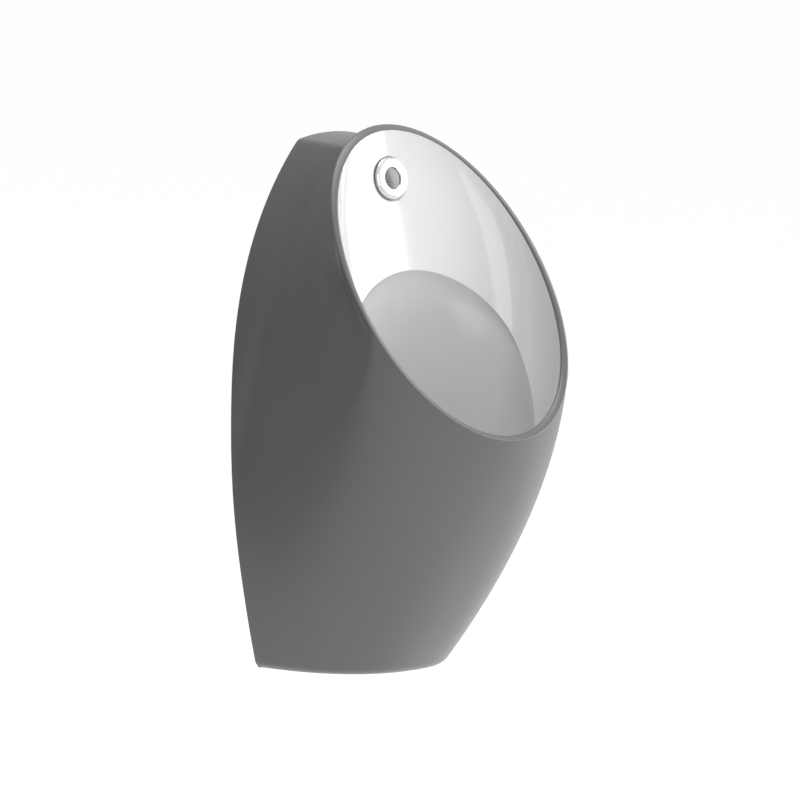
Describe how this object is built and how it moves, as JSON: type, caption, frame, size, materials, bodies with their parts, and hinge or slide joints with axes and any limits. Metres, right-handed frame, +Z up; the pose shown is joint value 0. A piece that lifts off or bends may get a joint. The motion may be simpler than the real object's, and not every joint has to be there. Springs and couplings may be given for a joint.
{
  "type": "wall hung urinal with a sensor spreader",
  "caption": "Wall hung ceramic urinal, grey outside and white in its tilted oval bowl, with a chrome sensor spreader, a hidden flush valve and a bottle trap.",
  "frame": {"origin": "on the wall plane, on the centre line, at the level of the base", "axes": "+X to the right of someone who faces it, +Y into the wall, +Z up"},
  "size_m": [0.311, 0.3496, 0.6305],
  "materials": {
    "ceramic": "satin",
    "chrome": "polished",
    "steel": "brushed",
    "brass": "satin",
    "rubber": "matte",
    "window": "glossy",
    "black_plastic": "matte",
    "white_plastic": "satin",
    "lever_paint": "satin",
    "board": "satin",
    "cell_sleeve": "satin"
  },
  "bodies": {
    "urinal": {"ceramic_body": "ceramic", "hanger_hooks": "steel", "lower_brackets": "steel", "lower_bolts": "steel", "lower_nuts": "steel", "lug_washers": "rubber", "spreader_flange": "chrome", "flange_gasket": "rubber", "sensor_window": "window", "sensor_capsule": "black_plastic", "back_gasket": "rubber", "clamp_washer": "brass", "lock_nut": "brass", "inlet_elbow": "brass", "sensor_gland": "black_plastic", "upper_pipe": "chrome", "elbow_nut": "brass", "outlet_union_nut": "brass", "valve_body": "brass", "piston_spring": "steel", "valve_bonnet": "brass", "bonnet_screws": "steel", "plunger_spring": "steel", "coil": "black_plastic", "coil_nut": "steel", "inlet_filter": "white_plastic", "inlet_union_nut": "brass", "lower_pipe": "chrome", "stop_union_nut": "brass", "stop_valve_body": "brass", "packing_nut": "brass", "service_plate": "steel", "pipe_clip": "white_plastic", "control_box": "white_plastic", "control_cover": "white_plastic", "cover_gasket": "rubber", "cover_screws": "steel", "circuit_board": "board", "battery_tray": "black_plastic", "batteries": "cell_sleeve", "cable_glands": "black_plastic", "waste_flange": "chrome", "waste_gasket": "rubber", "lower_seal": "rubber", "waste_washer": "steel", "waste_locknut": "brass", "trap_nut": "white_plastic", "trap_body": "white_plastic", "trap_cup": "white_plastic", "cup_seal": "rubber", "outlet_nut": "white_plastic", "outlet_pipe": "white_plastic", "wall_seal": "rubber"},
    "strainer": {"waste_strainer": "steel"},
    "piston": {"valve_piston": "white_plastic"},
    "plunger": {"plunger": "steel"},
    "stop_valve": {"stop_ball": "chrome", "stop_spindle": "steel", "stop_handle": "lever_paint", "handle_screw": "steel"}
  },
  "joints": [
    {"name": "strainer_lift", "type": "slide", "parent": "urinal", "child": "strainer", "axis": [0, 0, 1], "range_m": [0, 0.06]},
    {"name": "plunger_slide", "type": "slide", "parent": "urinal", "child": "plunger", "axis": [0, 0, -1], "range_m": [0, 0.003], "stiffness_N_per_m": 300, "springref_m": -0.004, "deforming": ["plunger_spring"]},
    {"name": "piston_slide", "type": "slide", "parent": "urinal", "child": "piston", "axis": [0, 0, -1], "range_m": [0, 0.003], "stiffness_N_per_m": 300, "springref_m": -0.004, "deforming": ["piston_spring"]},
    {"name": "stop_turn", "type": "hinge", "parent": "urinal", "child": "stop_valve", "pos_m": [0, -0.02, 0.345], "axis": [1, 0, 0], "range_deg": [-90, 0]}
  ],
  "couplings": [
    {"joint": "piston_slide", "follows": "plunger_slide", "ratio": 1}
  ]
}
